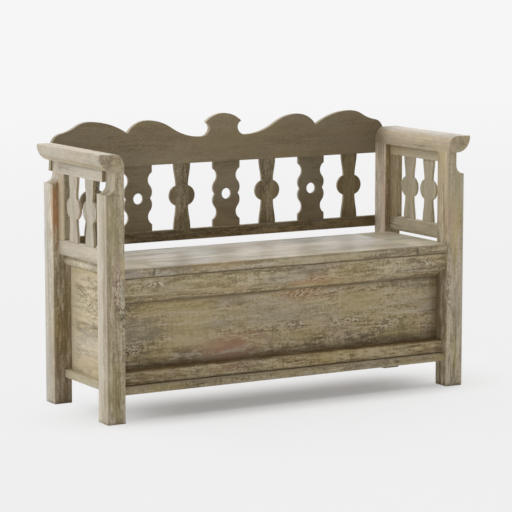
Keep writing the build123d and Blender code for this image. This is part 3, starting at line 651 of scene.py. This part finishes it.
# chest front, rough sawn, with flaking patches and stains
frontLook = {
    "patch": 0.40,
    "mottle": 0.34,
    "dash": 0.36,
    "streak": 0.32,
    "fibre": 1.3,
    "speck": 1.9,
    "saw": 0.6,
    "yellow": 0.55,
    "flake": 0.3,
}
frontPlaces = {
    "front_top_rail": {
        "seed": 30.0,
        "mottle": 0.60,
        "shade": (1.0, 0.99, 0.93),
        "yellow": 0.35,
        "grey": 0.4,
        "stains": [
            stainAndLightAt((0.090, -0.20, 0.362), (0.11, 0.04, 0.035), (0.54, 0.30, 0.16), 0.8),
            stainAndLightAt((-0.40, -0.20, 0.380), (0.28, 0.04, 0.06), (0.30, 0.24, 0.13), 0.25),
            stainAndLightAt((-0.39, -0.20, 0.383), (0.06, 0.04, 0.018), cream, 0.35),
            stainAndLightAt((0.39, -0.20, 0.386), (0.06, 0.04, 0.018), cream, 0.35),
            stainAndLightAt((0.556, -0.20, 0.400), (0.03, 0.04, 0.03), umber, 0.5),
        ],
        "flakes": [
            flakeAt((-0.457, -0.208, 0.400), (0.055, 0.02, 0.014), 1.0),
            flakeAt((0.490, -0.208, 0.396), (0.042, 0.02, 0.011), 0.9),
            flakeAt((0.10, -0.20, 0.368), (0.09, 0.03, 0.018), 0.7),
            flakeAt((0.40, -0.208, 0.380), (0.09, 0.03, 0.020), 0.35),
        ],
        # darker along the lower edge and under the seat: painted shade of the shadow gaps, partly grimy
        "grime": [
            grimeAndShadeBand("z", 0.348, 0.343, 0.8, ragged=0.003),
            grimeAndShadeBand("z", 0.4165, 0.4215, 0.6, ragged=0.003),
        ],
    },
    "front_panel": {
        "seed": 31.0,
        "mid": (0.56, 0.444, 0.252),
        "mottle": 0.54,
        "patch": 0.46,
        "stains": [
            stainAndLightAt((0.0, -0.1555, 0.252), (allAlong, 0.03, 0.024), (0.36, 0.28, 0.14), 0.15),
            stainAndLightAt((0.0, -0.1555, 0.290), (allAlong, 0.03, 0.024), (0.66, 0.54, 0.32), 0.25),
            stainAndLightAt((-0.300, -0.1555, 0.158), (0.34, 0.03, 0.024), (0.23, 0.16, 0.085), 0.5),
            stainAndLightAt((-0.195, -0.1555, 0.184), (0.15, 0.03, 0.060), (0.46, 0.255, 0.165), 0.8),
            stainAndLightAt((-0.310, -0.1555, 0.240), (0.12, 0.03, 0.07), (0.64, 0.52, 0.28), 0.6),
            stainAndLightAt((-0.340, -0.1555, 0.174), (0.08, 0.03, 0.030), (0.19, 0.135, 0.07), 0.6),
            stainAndLightAt((-0.310, -0.1555, 0.214), (0.08, 0.03, 0.018), cream, 0.4),
            stainAndLightAt((-0.020, -0.1555, 0.192), (0.10, 0.03, 0.022), cream, 0.3),
            stainAndLightAt((-0.185, -0.1555, 0.326), (0.10, 0.03, 0.024), umber, 0.45),
            stainAndLightAt((-0.215, -0.1555, 0.255), (0.08, 0.03, 0.022), umber, 0.3),
            stainAndLightAt((0.080, -0.1555, 0.322), (0.10, 0.03, 0.03), (0.58, 0.36, 0.19), 0.75),
            stainAndLightAt((0.000, -0.1555, 0.270), (0.22, 0.03, 0.05), (0.38, 0.34, 0.26), 0.3),
            stainAndLightAt((-0.500, -0.1555, 0.250), (0.09, 0.03, 0.05), (0.40, 0.36, 0.27), 0.5),
        ],
        "flakes": [
            flakeAt((-0.520, -0.1555, 0.200), (0.05, 0.02, 0.022), 1.0),
            flakeAt((0.225, -0.1555, 0.232), (0.07, 0.02, 0.020), 0.9),
            flakeAt((0.390, -0.1555, 0.208), (0.07, 0.02, 0.024), 0.9),
            flakeAt((0.053, -0.1555, 0.228), (0.06, 0.02, 0.022), 0.8),
            flakeAt((0.080, -0.1555, 0.320), (0.10, 0.02, 0.025), 0.7),
        ],
        # darker at the bottom and under the top rail, partly grimy and partly painted shade of the joints;
        # darker towards both ends
        "grime": [
            grimeAndShadeBand("z", 0.190, 0.146, 0.48),
            grimeAndShadeBand("z", 0.326, 0.341, 0.45, ragged=0.010),
            grimeAndShadeBand("z", 0.334, 0.342, 0.7, ragged=0.003, colour=sootAndShade),
            grimeAndShadeBand("x", 0.52, 0.565, 0.6, colour=(0.17, 0.115, 0.04)),
            grimeAndShadeBand("x", -0.53, -0.57, 0.4),
        ],
    },
    "plinth_moulding": {
        "seed": 32.0,
        "top": 0.0,
        "shade": (0.89, 0.83, 0.68),
        "streak": 0.7,
        "mottle": 0.85,
        "dash": 0.75,
        "flake": 0.55,
        "stains": [
            stainAndLightAt((-0.256, -0.1925, 0.138), (0.03, 0.02, 0.008), (0.68, 0.58, 0.42), 0.6),
            stainAndLightAt((-0.190, -0.1925, 0.128), (0.10, 0.02, 0.015), (0.50, 0.31, 0.21), 0.4),
            stainAndLightAt((-0.42, -0.1925, 0.125), (0.22, 0.03, 0.04), (0.22, 0.16, 0.08), 0.4),
            stainAndLightAt((-0.53, -0.1925, 0.130), (0.06, 0.03, 0.02), umber, 0.45),
            stainAndLightAt((0.42, -0.1925, 0.130), (0.07, 0.03, 0.018), umber, 0.45),
            stainAndLightAt((0.55, -0.1925, 0.120), (0.03, 0.03, 0.025), umber, 0.5),
        ],
        # darker on the top of the moulding and along its foot: partly grimy, partly painted shade of the
        # joints
        "grime": [
            grimeAndShadeBand("z", 0.140, 0.1455, 0.93, ragged=0.006, colour=(0.085, 0.048, 0.008)),
            grimeAndShadeBand("z", 0.113, 0.106, 0.4, ragged=0.008),
        ],
    },
    "front_bottom_rail": {
        "seed": 33.0,
        "shade": (0.87, 0.86, 0.82),
        # darker under the moulding: painted shade of the shadow gap, partly grimy
        "grime": [grimeAndShadeBand("z", 0.096, 0.104, 0.55, ragged=0.008)],
    },
}
for name, own in frontPlaces.items():
    weatheredTimber(name, "x", **{**frontLook, **own})
print("chest front finished")

# chest sides and back
sideLook = {
    "mid": (0.605, 0.505, 0.318),
    "ochre": (0.64, 0.535, 0.30),
    "patch": 0.40,
    "mottle": 0.66,
    "dash": 0.44,
    "streak": 0.44,
    "fibre": 0.8,
    "speck": 1.2,
    "yellow": 0.65,
    "flake": 0.25,
    "side": 0.25,
    "calm": 0.3,
}
lowLook = {**sideLook, "shade": (0.765, 0.785, 0.85), "top": 0.0}
for count, side in enumerate(("left", "right")):
    sign = -1 if side == "left" else 1
    marks = [
        flakeAt((sign * 0.562, 0.05, 0.335), (0.02, 0.06, 0.035), 0.7),
        flakeAt((sign * 0.562, 0.03, 0.305), (0.02, 0.08, 0.04), 0.5),
    ]
    dull = [
        stainAndLightAt((sign * 0.562, 0.02, 0.20), (0.03, 0.10, 0.04), (0.46, 0.41, 0.33), 0.6),
        stainAndLightAt((sign * 0.562, 0.084, 0.176), (0.03, 0.04, 0.025), umber, 0.25),
        stainAndLightAt((sign * 0.562, 0.100, 0.123), (0.03, 0.05, 0.015), (0.80, 0.69, 0.43), 0.5),
        stainAndLightAt((sign * 0.562, 0.07, 0.362), (0.03, 0.06, 0.018), (0.22, 0.165, 0.09), 0.6),
        # paler beside the back post: painted light against the post's shadow
        stainAndLightAt((sign * 0.562, 0.142, 0.25), (0.03, 0.035, 0.40), (0.78, 0.68, 0.47), 0.6),
    ]
    weatheredTimber(f"{side}_side_panel", "y", seed=34.0 + count, flakes=marks, stains=dull, **sideLook)
    weatheredTimber(f"{side}_side_bottom_rail", "y", seed=36.0 + count, **lowLook)
backLook = {
    "patch": 0.32,
    "mottle": 0.32,
    "dash": 0.32,
    "streak": 0.40,
    "fibre": 0.9,
    "speck": 1.2,
    "flake": 0.2,
}
weatheredTimber("back_panel", "x", seed=38.0, **backLook)
weatheredTimber("back_bottom_rail", "x", seed=39.0, **backLook)
print("chest sides and back finished")

# timber inside the chest, never out in the weather
innerLook = {
    "dark": (0.34, 0.22, 0.11),
    "mid": (0.54, 0.40, 0.23),
    "light": (0.66, 0.52, 0.33),
    "grey": 0.1,
    "flake": 0.0,
    "crack": 0.3,
    "wear": 0.0,
    "mottle": 0.2,
}
innerGrain = {
    "front_bearer": "x",
    "back_bearer": "x",
    "floor_boards": "y",
    "lid_left_cleat": "y",
    "lid_right_cleat": "y",
    "left_front_batten": "z",
    "left_back_batten": "z",
    "right_front_batten": "z",
    "right_back_batten": "z",
}
for count, (name, grain) in enumerate(innerGrain.items()):
    weatheredTimber(name, grain, seed=40.0 + count, **innerLook)
print("inside finished")

# browned iron of the hinges and nails
ironUse = {
    "clean": (0.20, 0.185, 0.17),
    "rust": (0.22, 0.10, 0.045),
    "blotch": {"scale": 160.0, "detail": 5.0, "roughness": 0.65},
    "blotchFade": (0.42, 0.60),
    "grit": {"scale": 900.0, "detail": 3.0, "roughness": 0.6},
    "metal": 0.95,
    "metalLoss": 0.6,   # where it has rusted
    "rough": 0.5,
    "roughGain": 0.3,
    "blotchHeight": 0.4,
    "relief": 0.4,
    "depth": 0.0003,
    "seedStep": (1.0, 0.7, 1.3),
}


def brownedIron(nodeName, seed):
    finish = Finish(bpy.data.materials.new(nodeName + "Iron"))
    place = finish.node("ShaderNodeTexCoord", output="Object")
    move = [seed * step for step in ironUse["seedStep"]]
    moved = finish.node("ShaderNodeMapping", {}, {"Vector": place, "Location": move})
    blotch = finish.fade(finish.noise(moved, **ironUse["blotch"]), *ironUse["blotchFade"])
    grit = finish.noise(moved, **ironUse["grit"])
    bump = finish.node("ShaderNodeBump", {}, {
        "Height": grit + blotch * ironUse["blotchHeight"],
        "Strength": ironUse["relief"],
        "Distance": ironUse["depth"],
    })
    shader = finish.node("ShaderNodeBsdfPrincipled", {}, {
        "Base Color": finish.blend(blotch, ironUse["clean"], ironUse["rust"]),
        "Metallic": ironUse["metal"] - blotch * ironUse["metalLoss"],
        "Roughness": ironUse["rough"] + blotch * ironUse["roughGain"],
        "Normal": bump,
    })
    finish.node("ShaderNodeOutputMaterial", {}, [shader])
    wearIt(nodeName, finish)


ironNodes = [name for name in nodes if name.startswith("hinge_") or name.endswith("_nails")]
for count, name in enumerate(ironNodes):
    brownedIron(name, 1.0 + count * 0.3)
print("iron finished")

# studio: pale floor with a painted glow that lightens the bench's shadow, soft lamps from behind and above,
# white round about
studio = {
    "floorSize": 240.0,
    "floorGrey": 0.88,   # for the light that it throws back on the bench
    "lit": (0.766, 0.808),   # as the camera sees it, near and far
    "glowing": (0.865, 0.922),
    "farFade": (-1.0, 12.0),
    "glow": 0.30,   # share of the glow under the bench, and what is added around it
    "frontGlow": 0.50,
    "frontFade": (-0.20, -0.34),
    "backGlow": 0.58,
    "backFade": (-0.09, 0.14),
    "shadowMiddle": 0.03,
    "asideFade": (0.30, 0.95),
    "air": 0.922,
    "airFill": 0.03,
    "lamps": {
        "leftLamp": {"azimuth": 178.0, "height": 25.0, "strength": 0.346, "angle": 60.0},
        "backLamp": {"azimuth": 116.0, "height": 28.0, "strength": 0.403, "angle": 60.0},
        "rightLamp": {"azimuth": 16.0, "height": 25.0, "strength": 0.672, "angle": 70.0},
        "topLamp": {"azimuth": 0.0, "height": 90.0, "strength": 0.50, "angle": 50.0},
    },
}
bpy.ops.object.select_all(action="DESELECT")
bpy.ops.mesh.primitive_plane_add(size=studio["floorSize"], location=(0.0, 0.0, 0.0))
floor = bpy.context.object
floor.name = "studioFloor"
floorFinish = Finish(bpy.data.materials.new("paleFloor"))
floorPlace = floorFinish.node("ShaderNodeTexCoord", output="Object")
across, depth = floorFinish.node("ShaderNodeSeparateXYZ", {}, [floorPlace], ("X", "Y"))
far = floorFinish.fade(depth, *studio["farFade"])
litColour, glowColour = [
    floorFinish.blend(far, *[(grey, grey, grey) for grey in studio[key]])
    for key in ("lit", "glowing")
]
chalky = {"Roughness": 1.0, "Specular IOR Level": 0.0}
shown = floorFinish.node("ShaderNodeBsdfPrincipled", {}, {**chalky, "Base Color": litColour})
glow = floorFinish.node("ShaderNodeEmission", {}, {"Color": glowColour})
# painted light: the floor glows more in front of, behind and beside the bench, to lighten its shadow
fromFront = floorFinish.fade(depth, *studio["frontFade"]) * studio["frontGlow"]
fromBack = floorFinish.fade(depth, *studio["backFade"]) * studio["backGlow"]
aside = floorFinish.fade(abs(across - studio["shadowMiddle"]), *studio["asideFade"])
shadow = 1.0 - studio["glow"] - fromFront - fromBack
share = 1.0 - (1.0 - aside) * shadow   # painted glow that lightens the shadow round and under the bench
lifted = floorFinish.node("ShaderNodeMixShader", {}, [share, shown, glow])
plainColour = (studio["floorGrey"],) * 3
plain = floorFinish.node("ShaderNodeBsdfPrincipled", {}, {**chalky, "Base Color": plainColour})
floorShader = floorFinish.node("ShaderNodeMixShader", {}, [floorFinish.lookedAt(), plain, lifted])
floorFinish.node("ShaderNodeOutputMaterial", {}, [floorShader])
floor.data.materials.append(floorFinish.owner)

for name, lamp in studio["lamps"].items():
    turn, rise = math.radians(lamp["azimuth"]), math.radians(lamp["height"])
    toward = Vector((math.cos(turn) * math.cos(rise), math.sin(turn) * math.cos(rise), math.sin(rise)))
    sun = bpy.data.lights.new(name, "SUN")
    sun.energy = lamp["strength"] * math.pi
    sun.angle = math.radians(lamp["angle"])
    holder = bpy.data.objects.new(name, sun)
    holder.rotation_euler = toward.to_track_quat("Z", "Y").to_euler()
    bpy.context.scene.collection.objects.link(holder)

world = bpy.data.worlds.new("studioWorld")
bpy.context.scene.world = world
air = Finish(world)
fill = air.node("ShaderNodeBackground", {}, {"Color": (1.0, 1.0, 1.0), "Strength": studio["airFill"]})
white = air.node("ShaderNodeBackground", {}, {"Color": (studio["air"],) * 3, "Strength": 1.0})
around = air.node("ShaderNodeMixShader", {}, [air.lookedAt(), fill, white])
air.node("ShaderNodeOutputWorld", {}, [around])
print("studio finished")

# camera at the photograph's angle
cameraUse = {
    "azimuth": -30.04,
    "elevation": 7.92,
    "distance": 7.31085,
    "target": (-0.00428, -0.00564, 0.42673),
    "lens": 167.63,
    "sensor": 36.0,
    "clipEnd": 400.0,
}
turn, rise = math.radians(cameraUse["azimuth"]), math.radians(cameraUse["elevation"])
away = Vector((math.sin(turn) * math.cos(rise), -math.cos(turn) * math.cos(rise), math.sin(rise)))
lens = bpy.data.cameras.new("benchCamera")
lens.lens = cameraUse["lens"]
lens.sensor_width = cameraUse["sensor"]
lens.clip_end = cameraUse["clipEnd"]
camera = bpy.data.objects.new("benchCamera", lens)
camera.location = Vector(cameraUse["target"]) + away * cameraUse["distance"]
camera.rotation_euler = away.to_track_quat("Z", "Y").to_euler()
bpy.context.scene.collection.objects.link(camera)
bpy.context.scene.camera = camera
bpy.context.scene.view_settings.view_transform = "Standard"
print("camera set")
